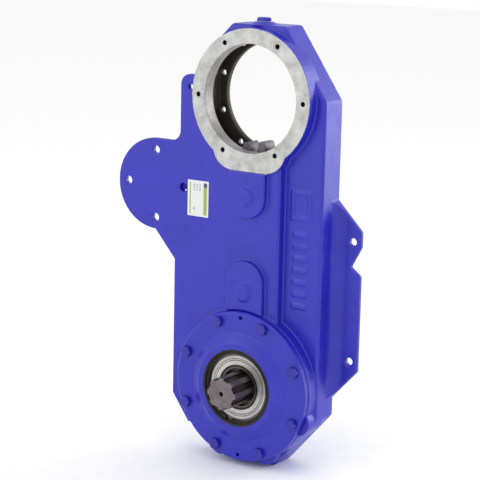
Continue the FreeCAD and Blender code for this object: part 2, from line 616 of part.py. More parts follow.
for name, centre, hand in (("upper", UPPER_Z, 1), ("lower", LOWER_Z, -1)):
    label = f"{name}_idler"
    phase = hand * size("upper_phase")
    hub = turned(f"{label}_hub", ring_profile("idler_outer", "hub_outside", "hub_front", "hub_back"), centre)
    blank = fuse(f"{label}_blank", [tooth_ring(f"{label}_teeth", centre, phase), hub])
    rear_clip = "idler_face + 2 * idler_width"
    bore = turned(f"{label}_bore", [
        ("0", "hub_front - 1"), ("idler_outer", "hub_front - 1"), ("idler_outer", "idler_face - idler_clip"),
        ("idler_outer + 2", "idler_face - idler_clip"), ("idler_outer + 2", "idler_face"),
        ("idler_outer", "idler_face"), ("idler_outer", rear_clip), ("idler_outer + 2", rear_clip),
        ("idler_outer + 2", f"{rear_clip} + idler_clip"), ("idler_outer", f"{rear_clip} + idler_clip"),
        ("idler_outer", "hub_back + 1"), ("0", "hub_back + 1"),
    ], centre)
    keep(cut(f"{label}_wheel", blank, bore), f"{label}_gear")
    ball_bearing(f"{label}_bearing", "axle_radius + 0.03", "idler_outer",
                 ["idler_face", "idler_face + idler_width"], "idler_width", "idler_ball",
                 "idler_pitch", "idler_balls", centre, "s")
    clips = [circlip(f"{label}_clip_{step}", "idler_outer - 4", "idler_outer + 1.9", front,
                     f"{front} + idler_clip - 0.1", centre, 90)
             for step, front in enumerate(("idler_face - idler_clip", f"{rear_clip} + 0.05"), start=1)]
    keep(compound(f"{label}_clips_group", clips), f"{label}_circlips")

    axle = turned(f"{label}_axle_body", [
        ("0", "axle_front + 0.5"), ("axle_radius - 1", "axle_front + 0.5"),
        ("axle_radius", "axle_front + 1.5"),
        ("axle_radius", "housing_back - 6"), ("axle_radius - 2.4", "housing_back - 6"),
        ("axle_radius - 2.4", "housing_back - 3"), ("axle_radius", "housing_back - 3"),
        ("axle_radius", "housing_back"), ("axle_flange", "housing_back"),
        ("axle_flange", "housing_back + axle_flange_thick"), ("0", "housing_back + axle_flange_thick"),
    ], centre)
    screw_places = round_places("axle_screws", "axle_screw_circle", "0", centre, 90)
    screw_holes = pegs(f"{label}_screw_holes", screw_places, "3.3", "housing_back - 1",
                       "housing_back + axle_flange_thick + 1")
    keep(cut(f"{label}_axle_drilled", axle, screw_holes), f"{label}_axle")
    hex_bolts(f"{label}_axle_screws", screw_places, "10", "housing_back + axle_flange_thick",
              "housing_back + axle_flange_thick + 4", "2.95", "housing_back - 7",
              "housing_back + axle_flange_thick + 1")
    keep(torus(f"{label}_axle_seal", "axle_radius - 1.2", "1.15", "housing_back - 4.5", centre),
         f"{label}_axle_o_ring")
    front_sleeve = ring_profile("axle_radius + 0.1", "axle_radius + 4.5",
                                "pad_front + pad_wall", "idler_face")
    rear_sleeve = ring_profile("axle_radius + 0.1", "axle_radius + 4.5", rear_clip, "rear_wall_front")
    sleeves = [turned(f"{label}_front_sleeve", front_sleeve, centre),
               turned(f"{label}_rear_sleeve", rear_sleeve, centre)]
    keep(compound(f"{label}_sleeves_group", sleeves), f"{label}_spacer_sleeves")


# ---------------------------------------------------------------- output shaft and gear
def spline_grooves():
    """The spaces between the straight-sided spline teeth."""
    half_turn = "(180 deg / spline_teeth)"
    grooves = []
    inner, outer = "sqrt(spline_root ^ 2 - spline_half ^ 2)", "spline_radius + 4"
    side = [(f"({reach}) * cos{half_turn} + spline_half * sin{half_turn}",
             f"({reach}) * sin{half_turn} - spline_half * cos{half_turn}") for reach in (inner, outer)]
    corners = [(side[0][0], f"-({side[0][1]})"), (side[1][0], f"-({side[1][1]})"), side[1], side[0]]
    groove = slab("spline_groove", corners, "shaft_front - 1", "spline_back - 2")
    for step in range(int(size("spline_teeth"))):
        turn = 360 / size("spline_teeth") * (step + 0.5)
        copy = doc.addObject("App::Link", f"spline_groove_{step + 1}")
        copy.LinkedObject = groove
        copy.Placement = Placement(Vector(0, 0, size(OUTPUT_Z)), Rotation(Vector(0, 1, 0), -turn))
        grooves.append(copy)
    return grooves


shaft_blank = turned("shaft_blank", [
    ("0", "shaft_front + 12"), ("3.3", "shaft_front + 10"), ("3.3", "shaft_front + 2"),
    ("5", "shaft_front"), ("spline_radius - 1", "shaft_front"), ("spline_radius", "shaft_front + 1"),
    ("spline_radius", "spline_back"), ("front_bore - 3", "spline_back"), ("front_bore - 3", "lip_front"),
    ("front_bore", "lip_front"), ("front_bore", "front_face + front_width"),
    ("shoulder_radius", "front_face + front_width"), ("shoulder_radius", "seat_front"),
    ("gear_seat", "seat_front"), ("gear_seat", "seat_back"), ("rear_bore", "seat_back"),
    ("rear_bore", "rear_face + rear_width"), ("rear_bore - 1.5", "rear_face + rear_width"),
    ("rear_bore - 1.5", "rear_face + rear_width + 2.6"), ("rear_bore", "rear_face + rear_width + 2.6"),
    ("rear_bore", "shaft_back"), ("0", "shaft_back"),
], OUTPUT_Z)
keyway = block("shaft_keyway", "-key_half", "key_half", "seat_front + 2", "seat_back - 2",
               f"{OUTPUT_Z} + key_low", f"{OUTPUT_Z} + gear_seat + 5")
keep(cut("output_shaft_cut", shaft_blank, fuse("shaft_cuts", spline_grooves() + [keyway])), "output_shaft")
keep(block("output_key", "-key_half", "key_half", "seat_front + 2", "seat_back - 2",
           f"{OUTPUT_Z} + key_low", f"{OUTPUT_Z} + key_high"), "output_gear_key")

gear_hub = turned("output_hub_disc",
                  ring_profile("gear_seat", "output_hub", "seat_front", "seat_back"), OUTPUT_Z)
gear_bore = cylinder("output_gear_bore", "gear_seat", "seat_front - 1", "seat_back + 1", "0", OUTPUT_Z)
gear_keyway = block("output_gear_keyway", "-key_half", "key_half", "seat_front - 1", "seat_back + 1",
                    OUTPUT_Z, f"{OUTPUT_Z} + key_high + 0.2")
gear_blank = fuse("output_gear_blank", [tooth_ring("output_teeth", OUTPUT_Z, size("upper_phase")), gear_hub])
keep(cut("output_gear_cut", gear_blank, fuse("output_gear_cuts", [gear_bore, gear_keyway])), "output_gear")
spacer_profile = ring_profile("rear_bore + 0.1", "gear_seat", "seat_back", "rear_face")
keep(turned("gear_spacer", spacer_profile, OUTPUT_Z),
     "output_gear_spacer")

ball_bearing("front_bearing", "front_bore", "front_outer", ["front_face"], "front_width", "front_ball",
             "front_pitch", "front_balls", OUTPUT_Z)
ball_bearing("rear_bearing", "rear_bore", "rear_outer", ["rear_face"], "rear_width", "rear_ball",
             "rear_pitch", "rear_balls", OUTPUT_Z)
shield = ring_profile("front_pitch - front_ball * shoulder_share + 1",
                      "front_pitch + front_ball * shoulder_share",
                      "front_face + 0.6", "front_face + 1.8")
keep(turned("bearing_shield", shield, OUTPUT_Z), "front_bearing_shield")
keep(circlip("front_clip_body", "front_outer - 4", "front_outer + 2.4", "front_face - front_clip",
             "front_face - 0.05", OUTPUT_Z, 250), "front_bearing_circlip")
keep(circlip("rear_clip_body", "rear_bore - 1.4", "rear_bore + 5", "rear_face + rear_width + 0.05",
             "rear_face + rear_width + 2.5", OUTPUT_Z, 90), "shaft_circlip")


# ---------------------------------------------------------------- covers and plugs
cover_places = round_places("cover_bolts", "cover_bolt_circle", "0", OUTPUT_Z, 22.5)
cover_blank = turned("cover_blank", [
    ("mouth_radius", "hub_face"), ("hub_radius", "hub_face"), ("hub_foot", "cover_face"),
    ("cover_radius - 3", "cover_face"), ("cover_radius", "cover_face + 3"), ("cover_radius", "cover_seat"),
    ("spigot_radius - 0.1", "cover_seat"), ("spigot_radius - 0.1", "cover_seat + 3"),
    ("spigot_radius - 3", "cover_seat + 3"), ("spigot_radius - 3", "cover_seat + 7"),
    ("spigot_radius - 0.1", "cover_seat + 7"), ("spigot_radius - 0.1", "spigot_back"),
    ("spigot_radius - 12", "spigot_back"), ("spigot_radius - 15", "cover_seat"),
    ("hub_radius", "cover_seat"), ("hub_radius - 2", "spigot_back + 2"),
    ("front_outer - 7", "spigot_back + 2"), ("front_outer - 7", "front_face + front_width"),
    ("front_outer", "front_face + front_width"), ("front_outer", "front_face"),
    ("front_outer + 2.5", "front_face"), ("front_outer + 2.5", "front_face - front_clip - 0.1"),
    ("front_outer", "front_face - front_clip - 0.1"), ("front_outer", "hub_face + 3"),
], OUTPUT_Z)
cover_cuts = fuse("cover_drilling", [
    pegs("cover_bolt_holes", cover_places, "cover_bolt + 0.75", "cover_face - 1", "cover_seat + 1"),
    pegs("cover_jack_holes", round_places("2", "jack_circle", "0", OUTPUT_Z, 90), "jack_hole",
         "cover_face - 1", "cover_seat + 1"),
])
keep(cut("cover_drilled", cover_blank, cover_cuts), "output_cover")
hex_bolts("output_cover_bolts", cover_places, "18", "cover_face - 7.5", "cover_face", "cover_bolt - 0.05",
          "cover_face - 1", "cover_seat + 19")
keep(torus("cover_seal", "spigot_radius - 1.5", "1.4", "cover_seat + 5", OUTPUT_Z), "output_cover_o_ring")

gasket = "rear_boss_back + 0.5"
cap_places = round_places("cap_bolts", "cap_bolt_circle", "0", OUTPUT_Z, 30)
cap_blank = turned("cap_blank", [
    ("0", f"{gasket} + 3"), ("rear_outer - 8", f"{gasket} + 3"),
    ("rear_outer - 8", "rear_face + rear_width + 0.4"),
    ("rear_outer - 0.1", "rear_face + rear_width + 0.4"), ("rear_outer - 0.1", gasket),
    ("rear_boss", gasket), ("rear_boss", f"{gasket} + cap_thick - 2"),
    ("rear_boss - 2", f"{gasket} + cap_thick"), ("0", f"{gasket} + cap_thick"),
], OUTPUT_Z)
cap_holes = pegs("cap_bolt_holes", cap_places, "4.5", f"{gasket} - 1", f"{gasket} + cap_thick + 1")
keep(cut("cap_drilled", cap_blank, cap_holes), "rear_bearing_cap")
hex_bolts("rear_cap_bolts", cap_places, "13", f"{gasket} + cap_thick", f"{gasket} + cap_thick + 5.3", "3.95",
          "rear_boss_back - 16", f"{gasket} + cap_thick + 1")
gasket_band = turned("gasket_band",
                     ring_profile("rear_outer", "rear_boss", "rear_boss_back", gasket), OUTPUT_Z)
gasket_holes = pegs("gasket_holes", cap_places, "4.5", "rear_boss_back - 1", f"{gasket} + 1")
keep(cut("gasket_drilled", gasket_band, gasket_holes), "rear_cap_gasket")


def upright(kind, name, low, high, **radii):
    """A primitive standing along Z over the filler hole."""
    thing = doc.addObject(kind, name)
    for dimension, text in radii.items():
        bind(thing, dimension, text)
    bind(thing, "Height", f"({high}) - ({low})")
    bind(thing, "Placement.Base.x", "plug_x")
    bind(thing, "Placement.Base.y", "plug_y")
    bind(thing, "Placement.Base.z", low)
    return thing


boss_top = "crown_z + 4"
stem = upright("Part::Cylinder", "breather_stem", "crown_z - 6", f"{boss_top} + 2",
               Radius="drain_radius - 0.05")
hexagon = upright("Part::Prism", "breather_hexagon", f"{boss_top} + 1.2", f"{boss_top} + 6",
                  Circumradius="13.9")
hexagon.Polygon = 6
crown = upright("Part::Cone", "breather_crown", f"{boss_top} + 6", f"{boss_top} + 7.5", Radius1="11.5",
                Radius2="10")
keep(fuse("breather_body", [stem, hexagon, crown]), "breather_plug")
washer = upright("Part::Cylinder", "washer_disc", boss_top, f"{boss_top} + 1.2", Radius="14")
washer_hole = upright("Part::Cylinder", "washer_hole", f"{boss_top} - 1", f"{boss_top} + 3",
                      Radius="drain_radius")
keep(cut("washer_ring", washer, washer_hole), "breather_washer")

drain = doc.addObject("Part::Cylinder", "drain_body")
drain_socket = doc.addObject("Part::Prism", "drain_socket")
drain_socket.Polygon = 6
bind(drain, "Radius", "drain_radius - 0.05")
bind(drain, "Height", "wall + 2")
bind(drain_socket, "Circumradius", "5.2")
bind(drain_socket, "Height", "7")
for thing, low in ((drain, "sole_z + 0.5"), (drain_socket, "sole_z - 1")):
    bind(thing, "Placement.Base.y", "plug_y")
    bind(thing, "Placement.Base.z", low)
keep(cut("drain_drilled", drain, drain_socket), "drain_plug")

keep(block("label_sheet", "label_left", "label_right", "pad_front - label_thick", "pad_front",
           "label_low", "label_high"), "type_label")


# ---------------------------------------------------------------- checks and files
doc.recompute()
for thing in doc.Objects:
    if "Invalid" in thing.State or "Error" in thing.State:
        raise RuntimeError(f"{thing.Name} did not compute: {thing.State}")
labels = [thing.Label for thing in SUBPARTS]
if len(set(labels)) != len(labels) or len(labels) > 60:
    raise RuntimeError("each sub-part needs a label of its own, and there may be at most 60")
os.makedirs("parts", exist_ok=True)
for thing in SUBPARTS:
    if thing.Shape.isNull() or not thing.Shape.isValid():
        raise RuntimeError(f"{thing.Label} has no valid shape")
    thing.Shape.exportStep(f"parts/{thing.Label}.step")
print(len(SUBPARTS), "sub-parts written")
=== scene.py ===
import bmesh
import bpy
import math
from mathutils import Matrix, Vector


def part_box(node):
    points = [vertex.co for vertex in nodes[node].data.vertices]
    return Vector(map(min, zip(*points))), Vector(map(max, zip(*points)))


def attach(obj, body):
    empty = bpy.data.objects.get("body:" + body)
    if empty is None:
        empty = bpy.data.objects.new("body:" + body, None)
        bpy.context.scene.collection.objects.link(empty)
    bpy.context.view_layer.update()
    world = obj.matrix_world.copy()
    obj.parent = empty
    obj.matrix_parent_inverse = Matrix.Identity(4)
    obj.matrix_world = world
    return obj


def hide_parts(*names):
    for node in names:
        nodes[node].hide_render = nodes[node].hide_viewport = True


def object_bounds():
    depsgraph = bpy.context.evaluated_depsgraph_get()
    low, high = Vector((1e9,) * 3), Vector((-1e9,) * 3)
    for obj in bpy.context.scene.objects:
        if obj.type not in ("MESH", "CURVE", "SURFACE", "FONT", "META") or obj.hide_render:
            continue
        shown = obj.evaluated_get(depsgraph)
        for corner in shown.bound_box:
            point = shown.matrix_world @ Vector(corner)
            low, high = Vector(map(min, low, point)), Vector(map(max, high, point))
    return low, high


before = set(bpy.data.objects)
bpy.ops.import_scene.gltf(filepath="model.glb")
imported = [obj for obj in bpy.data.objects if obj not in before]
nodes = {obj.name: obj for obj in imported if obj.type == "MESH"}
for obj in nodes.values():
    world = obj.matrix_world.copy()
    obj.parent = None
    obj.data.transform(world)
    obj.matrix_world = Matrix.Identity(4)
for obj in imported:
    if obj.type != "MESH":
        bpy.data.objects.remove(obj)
cad_box = [list(corner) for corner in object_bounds()]
scene = bpy.context.scene
scene.view_settings.view_transform = "Standard"

# places in the CAD model, in metres; Y runs from the front into the housing
OUTPUT = Vector((0, 0, -0.510))
RING_BORE = 0.094
RING_DEPTH = 0.027
HOLE_CIRCLE = 0.1075
REAR_WALL = 0.069
REAR_RING = 0.080
FOOT_LOW = -0.1275
HALF_WIDTH = 0.1395
CROWN_HALF = 0.054
CROWN_Z = 0.126
NAPE_X = 0.118
NAPE_Z = -0.0295
HIP_Z = -0.556
SOLE_Z = -0.655

FLOOR_Z = cad_box[0][2]


# ---------------------------------------------------------------- camera
def photograph_camera():
    """The viewing angle and framing of the photograph."""
    turn, tilt, roll = (math.radians(a) for a in (33.7871, 11.6366, 1.2598))
    right = Vector((math.cos(turn), math.sin(turn), 0))
    ahead = Vector((-math.sin(turn) * math.cos(tilt), math.cos(turn) * math.cos(tilt), -math.sin(tilt)))
    up = right.cross(ahead)
    rolled_right = right * math.cos(roll) + up * math.sin(roll)
    rolled_up = up * math.cos(roll) - right * math.sin(roll)
    data = bpy.data.cameras.new("camera")
    camera = bpy.data.objects.new("camera", data)
    scene.collection.objects.link(camera)
    data.sensor_width = 36
    data.lens = 124.27
    data.clip_end = 50
    axes = Matrix((rolled_right, rolled_up, -ahead)).transposed().to_4x4()
    camera.matrix_world = Matrix.Translation((1.5644, -2.3572, 0.3360)) @ axes
    scene.camera = camera


# ---------------------------------------------------------------- material helpers
class Shader:
    """A small wrapper for building one procedural material node by node."""

    def __init__(self, name):
        self.material = bpy.data.materials.new(name)
        self.material.use_nodes = True
        self.tree = self.material.node_tree
        self.principled = self.tree.nodes["Principled BSDF"]
        place = self.add("ShaderNodeTexCoord")
        self.place = place.outputs["Object"]
        split = self.add("ShaderNodeSeparateXYZ", Vector=self.place)
        self.x, self.y, self.z = split.outputs

    def add(self, kind, **inputs):
        node = self.tree.nodes.new(kind)
        for name, value in inputs.items():
            self.plug(node.inputs[name], value)
        return node

    def plug(self, socket, value):
        """Link a node's output to a socket, or set the socket to a number or a colour."""
        if isinstance(value, bpy.types.NodeSocket):
            self.tree.links.new(value, socket)
        elif socket.type == "RGBA":
            socket.default_value = (*value, 1)
        else:
            socket.default_value = value

    def math(self, operation, *values, clamp=False):
        node = self.tree.nodes.new("ShaderNodeMath")
        node.operation = operation
        node.use_clamp = clamp
        for socket, value in zip(node.inputs, values):
            self.plug(socket, value)
        return node.outputs[0]

    def noise(self, scale, detail=4, roughness=0.6, place=None):
        node = self.add("ShaderNodeTexNoise", Vector=place or self.place, Scale=scale, Detail=detail,
                        Roughness=roughness)
        return node.outputs["Fac"]

    def ramp(self, value, *stops):
        node = self.tree.nodes.new("ShaderNodeValToRGB")
        ramp = node.color_ramp
        while len(ramp.elements) < len(stops):
            ramp.elements.new(0.5)
        for element, (position, colour) in zip(ramp.elements, stops):
            element.position = position
            element.color = (*colour, 1) if isinstance(colour, tuple) else (colour, colour, colour, 1)
        self.plug(node.inputs[0], value)
        return node.outputs[0]

    def mix(self, factor, one, other):
        node = self.tree.nodes.new("ShaderNodeMix")
        node.data_type = "RGBA"
        self.plug(node.inputs["Factor"], factor)
        for name, value in (("A", one), ("B", other)):
            socket = next(s for s in node.inputs if s.name == name and s.type == "RGBA")
            self.plug(socket, value)
        return next(s for s in node.outputs if s.type == "RGBA")

    def blend(self, factor, one, other):
        """Numbers: one where factor is 0, other where it is 1."""
        node = self.tree.nodes.new("ShaderNodeMix")
        node.data_type = "FLOAT"
        for name, value in (("Factor", factor), ("A", one), ("B", other)):
            socket = next(s for s in node.inputs if s.name == name and s.type == "VALUE")
            self.plug(socket, value)
        return next(s for s in node.outputs if s.type == "VALUE")

    def between(self, value, low, high, soft=0.0002):
        """1 where value lies between low and high, with a soft step at both ends."""
        rising = self.math("DIVIDE", self.math("SUBTRACT", value, low), soft, clamp=True)
        falling = self.math("DIVIDE", self.math("SUBTRACT", high, value), soft, clamp=True)
        return self.math("MULTIPLY", rising, falling)

    def both(self, *masks):
        result = masks[0]
        for mask in masks[1:]:
            result = self.math("MULTIPLY", result, mask)
        return result

    def either(self, *masks):
        result = masks[0]
        for mask in masks[1:]:
            result = self.math("MAXIMUM", result, mask)
        return result

    def share(self, one, part, other):
        """A mixture of two patterns, with this part of the first."""
        return self.math("ADD", self.math("MULTIPLY", one, part), self.math("MULTIPLY", other, 1 - part))

    def radius(self, centre_z):
        """Distance from an axis along Y."""
        height = self.math("SUBTRACT", self.z, centre_z)
        square = self.math("ADD", self.math("MULTIPLY", self.x, self.x),
                           self.math("MULTIPLY", height, height))
        return self.math("SQRT", square)

    def bump(self, height, strength, distance):
        node = self.add("ShaderNodeBump", Height=height, Strength=strength, Distance=distance)
        return node.outputs[0]

    def finish(self, colour, roughness, metallic, normal=None, **others):
        inputs = self.principled.inputs
        self.plug(inputs["Base Color"], colour)
        self.plug(inputs["Roughness"], roughness)
        self.plug(inputs["Metallic"], metallic)
        if normal:
            self.plug(inputs["Normal"], normal)
        for name, value in others.items():
            self.plug(inputs[name.replace("_", " ")], value)
        return self.material


def paint(s):
    """Blue enamel brushed over a rough casting: colour, roughness and height."""
    patches = s.noise(9, 3, 0.5)
    grain = s.noise(420, 5, 0.65)
    colour = s.ramp(s.share(patches, 0.75, grain),
                    (0.30, (0.011, 0.011, 0.345)), (0.55, (0.016, 0.016, 0.420)),
                    (0.80, (0.026, 0.026, 0.465)))
    roughness = s.ramp(s.noise(38, 4, 0.6), (0.3, 0.30), (0.75, 0.46))
    height = s.math("ADD", s.math("MULTIPLY", grain, 0.35), s.noise(130, 3, 0.5))
    return colour, roughness, height


def enamel_finish(s, colour, roughness, metallic, height):
    """The thin clear coat and the orange peel that every painted piece has."""
    return s.finish(colour, roughness, metallic, s.bump(height, 0.35, 0.0004), Coat_Weight=0.05,
                    Coat_Roughness=0.25)


def machined(s, centre_z):
    """Bare turned iron: fine rings round an axis, stains and small scratches."""
    rings = s.math("SINE", s.math("MULTIPLY", s.radius(centre_z), 5200))
    stains = s.noise(34, 5, 0.62)
    fine = s.noise(260, 4, 0.6)
    colour = s.ramp(s.share(stains, 0.75, fine),
                    (0.32, (0.28, 0.28, 0.27)), (0.50, (0.46, 0.46, 0.45)),
                    (0.70, (0.62, 0.62, 0.61)))
    roughness = s.ramp(stains, (0.3, 0.50), (0.7, 0.34))
    height = s.math("ADD", s.math("MULTIPLY", rings, 0.5), fine)
    return colour, roughness, height


def casing_depth(s):
    """How far a point is outside (+) or inside (-) the outline of the casing, seen along Y."""
    def plane(x, x_at, x_slope, z_at, z_slope):
        across = s.math("MULTIPLY", s.math("SUBTRACT", x, x_at), x_slope)
        return s.math("ADD", across, s.math("MULTIPLY", s.math("SUBTRACT", s.z, z_at), z_slope))

    left = s.math("MULTIPLY", s.x, -1)
    wide = s.math("ABSOLUTE", s.x)
    nape = s.math("MINIMUM", s.math("SUBTRACT", left, NAPE_X), plane(left, NAPE_X, 0.808, NAPE_Z, 0.589))
    return s.either(
        s.math("SUBTRACT", wide, HALF_WIDTH),
        plane(s.x, CROWN_HALF, 0.822, CROWN_Z, 0.569),
        plane(left, CROWN_HALF, 0.707, CROWN_Z, 0.707),
        s.math("SUBTRACT", s.z, CROWN_Z),
        nape,
        plane(wide, HALF_WIDTH, 0.757, HIP_Z, -0.654),
        s.math("SUBTRACT", SOLE_Z, s.z),
    )


def housing_material():
    """Enamel outside, bare machined faces and bores, and dark primer inside; painted shade darkens the
    bores, the tap holes and the primer.
    """
    s = Shader("painted_casting")
    blue, blue_rough, blue_height = paint(s)
    bare, bare_rough, bare_height = machined(s, 0.0)
    around = s.radius(0.0)

    front_ring = s.both(s.between(s.y, -0.0030, 0.0011), s.between(s.z, FOOT_LOW, 0.2))
    rear_ring = s.both(s.math("GREATER_THAN", s.y, REAR_RING - 0.0011), s.math("LESS_THAN", around, 0.1150))
    wall = s.between(around, RING_BORE - 0.004, RING_BORE + 0.0022)
    front_bore = s.between(s.y, 0.0011, RING_DEPTH + 0.0005)
    rear_lip = s.between(s.y, REAR_RING - 0.0020, REAR_RING - 0.0003)
    bores = s.both(wall, s.either(front_bore, rear_lip))
    metal = s.either(front_ring, rear_ring, bores)
    # painted shade: the bore walls are mixed halfway towards dark brown
    bare = s.mix(s.math("MULTIPLY", bores, 0.55), bare, (0.055, 0.050, 0.045))

    hollow = s.between(s.y, RING_DEPTH - 0.0008, REAR_WALL + 0.0045)
    cavity = s.both(s.math("LESS_THAN", casing_depth(s), -0.0045), hollow)
    collar = s.both(s.math("LESS_THAN", around, 0.1145), hollow)
    rear_wall = s.both(wall, s.between(s.y, REAR_WALL - 0.0005, REAR_RING - 0.0020))
    inside = s.both(s.either(collar, cavity, rear_wall), s.math("SUBTRACT", 1, bores))
    # dark primer inside the casing, made nearly black as painted shade of the closed cavity
    primer_and_painted_shade = s.ramp(s.noise(60, 4, 0.6), (0.3, (0.016, 0.015, 0.010)), (0.7, (0.034, 0.032, 0.021)))

    # painted shade: the walls of the tapped holes are made nearly black
    hole_depths = s.either(s.between(s.y, 0.0013, 0.0225),
                           s.between(s.y, REAR_WALL + 0.0004, REAR_RING - 0.0006))
    shaded_tap_holes = s.both(s.between(around, HOLE_CIRCLE - 0.0050, HOLE_CIRCLE + 0.0056), hole_depths)

    colour = s.mix(metal, s.mix(inside, blue, primer_and_painted_shade), bare)
    colour = s.mix(shaded_tap_holes, colour, (0.010, 0.009, 0.008))
    roughness = s.blend(metal, s.blend(inside, blue_rough, 0.62), bare_rough)
    height = s.blend(metal, blue_height, s.math("MULTIPLY", bare_height, 0.4))
    return enamel_finish(s, colour, roughness, s.math("MULTIPLY", metal, 0.35), height)


def paint_material(name, shade=1.0):
    """Plain enamel, darker where shade is under 1: painted shade, mixed towards dark blue."""
    s = Shader(name)
    colour, roughness, height = paint(s)
    if shade < 1:
        colour = s.mix(1 - shade, colour, (0.010, 0.010, 0.060))
    return enamel_finish(s, colour, roughness, 0.0, height)


def cover_material():
    """The painted output cover; its bearing bore is bare and oily, and darkened nearly black as painted
    shade.
    """
    s = Shader("cover_enamel")
    blue, blue_rough, height = paint(s)
    bore = s.math("LESS_THAN", s.radius(OUTPUT.z), 0.0699)
    # bare oily bore, its near-black tone partly painted shade inside the bearing mouth
    painted_shade_and_oil = s.ramp(s.noise(90, 4, 0.6), (0.3, (0.010, 0.010, 0.007)), (0.7, (0.032, 0.030, 0.020)))
    roughness = s.blend(bore, blue_rough, 0.38)
    return enamel_finish(s, s.mix(bore, blue, painted_shade_and_oil), roughness, s.math("MULTIPLY", bore, 0.5), height)


def steel(s, dark, light, rough, centre_z=None):
    """Bare steel with stains and, round an axis, turning marks: colour, roughness and height."""
    stains = s.noise(55, 5, 0.6)
    fine = s.noise(480, 4, 0.6)
    colour = s.ramp(s.share(stains, 0.7, fine), (0.32, dark), (0.70, light))
    roughness = s.ramp(stains, (0.3, rough + 0.10), (0.75, rough - 0.04))
    height = fine
    if centre_z is not None:
        lines = s.math("SINE", s.math("MULTIPLY", s.math("ADD", s.radius(centre_z), s.y), 4200))
        height = s.math("ADD", fine, s.math("MULTIPLY", lines, 0.5))
    return colour, roughness, height


def steel_material(name, dark, light, rough, centre_z=None, metallic=0.85):
    s = Shader(name)
    colour, roughness, height = steel(s, dark, light, rough, centre_z)
    return s.finish(colour, roughness, metallic, s.bump(height, 0.18, 0.0002))


def shaft_material():
    """The splined shaft: painted shade in the bottoms of its grooves and where it runs into the bearing,
    bare on the teeth.
    """
    s = Shader("turned_shaft_steel")
    colour, roughness, height = steel(s, (0.125, 0.108, 0.112), (0.235, 0.205, 0.212), 0.32, OUTPUT.z)
    # painted shade: the groove bottoms and the shaft at and behind the bearing lip are mixed towards dark
    # brown
    grooves = s.both(s.math("LESS_THAN", s.radius(OUTPUT.z), 0.0274), s.between(s.y, -0.0677, 0.0))
    lip = s.math("GREATER_THAN", s.y, -0.0142)
    painted_shade_and_oil = s.either(grooves, s.math("MULTIPLY", lip, 0.45))
    colour = s.mix(s.math("MULTIPLY", painted_shade_and_oil, 0.75), colour, (0.024, 0.022, 0.017))
    return s.finish(colour, roughness, 0.85, s.bump(height, 0.18, 0.0002))


def bearing_face_material():
    """The front of the shielded bearing: bright ground rings, with dark lines between them."""
    s = Shader("bearing_face_steel")
    colour, roughness, height = steel(s, (0.42, 0.41, 0.40), (0.62, 0.61, 0.59), 0.26, OUTPUT.z)
    radius = s.radius(OUTPUT.z)
    outer = s.math("GREATER_THAN", radius, 0.0580)
    colour = s.mix(outer, colour, (0.13, 0.125, 0.115))
    shield_lines = s.either(s.between(radius, 0.0516, 0.0528), s.between(radius, 0.0570, 0.0581))
    dark = s.either(shield_lines, s.math("LESS_THAN", radius, 0.0411))
    colour = s.mix(dark, colour, (0.030, 0.028, 0.022))
    return s.finish(colour, roughness, 0.85, s.bump(height, 0.18, 0.0002))


def rubber_material():
    s = Shader("seal_rubber")
    grain = s.noise(900, 3, 0.5)
    colour = s.ramp(grain, (0.3, (0.012, 0.012, 0.012)), (0.7, (0.03, 0.03, 0.03)))
    return s.finish(colour, 0.6, 0.0, s.bump(grain, 0.3, 0.0001))


def gasket_material():
    s = Shader("gasket_fibre")
    fibres = s.noise(700, 5, 0.7)
    colour = s.ramp(fibres, (0.3, (0.05, 0.07, 0.06)), (0.7, (0.10, 0.13, 0.11)))
    return s.finish(colour, 0.85, 0.0, s.bump(fibres, 0.4, 0.0002))


def label_material():
    """A white film with plain coloured bands and a few rows of small grey dashes."""
    low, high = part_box("type_label")
    s = Shader("label_film")
    across = s.math("DIVIDE", s.math("SUBTRACT", s.x, low[0]), high[0] - low[0])
    up = s.math("DIVIDE", s.math("SUBTRACT", s.z, low[2]), high[2] - low[2])
    fibre = s.noise(900, 3, 0.5)
    white = s.ramp(fibre, (0.3, (0.66, 0.67, 0.66)), (0.7, (0.74, 0.75, 0.74)))
    right_band = s.between(across, 0.76, 0.94, 0.02)
    bands = s.both(s.either(right_band, s.between(across, 0.09, 0.16, 0.02)),
                   s.between(up, 0.05, 0.95, 0.01))
    colour = s.mix(bands, white, (0.30, 0.38, 0.07))
    rows = s.either(*(s.between(across, left, left + 0.06, 0.02) for left in (0.28, 0.42, 0.56)))
    dashes = s.math("GREATER_THAN", s.math("SINE", s.math("MULTIPLY", up, 95)), -0.35)
    upper = s.both(rows, dashes, s.between(up, 0.70, 0.93, 0.01))
    lower = s.both(s.between(across, 0.28, 0.36, 0.02), dashes, s.between(up, 0.16, 0.27, 0.01))
    patch = s.both(right_band, s.between(up, 0.82, 0.95, 0.01))
    marks = s.either(upper, lower, s.math("MULTIPLY", patch, 0.9))
    colour = s.mix(marks, colour, (0.035, 0.03, 0.16))
    return s.finish(colour, 0.35, 0.0, s.bump(fibre, 0.08, 0.0001))


# ---------------------------------------------------------------- mesh helpers
BOLT_STEPS = 72  # points round a bolt


def give(thing, material):
    thing.data.materials.clear()
    thing.data.materials.append(material)


def stand_in_for(node, name, mesh, body, material):
    """A new piece that shows instead of a CAD node, and takes its material slot."""
    piece = bpy.data.objects.new(name, mesh)
    scene.collection.objects.link(piece)
    give(piece, material)
    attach(piece, body)
    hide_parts(node)


def baked(source):
    """The mesh of an object with its modifiers applied; the object itself is removed."""
    bpy.context.view_layer.update()
    evaluated = source.evaluated_get(bpy.context.evaluated_depsgraph_get())
    mesh = bpy.data.meshes.new_from_object(evaluated)
    bpy.data.objects.remove(source)
    return mesh


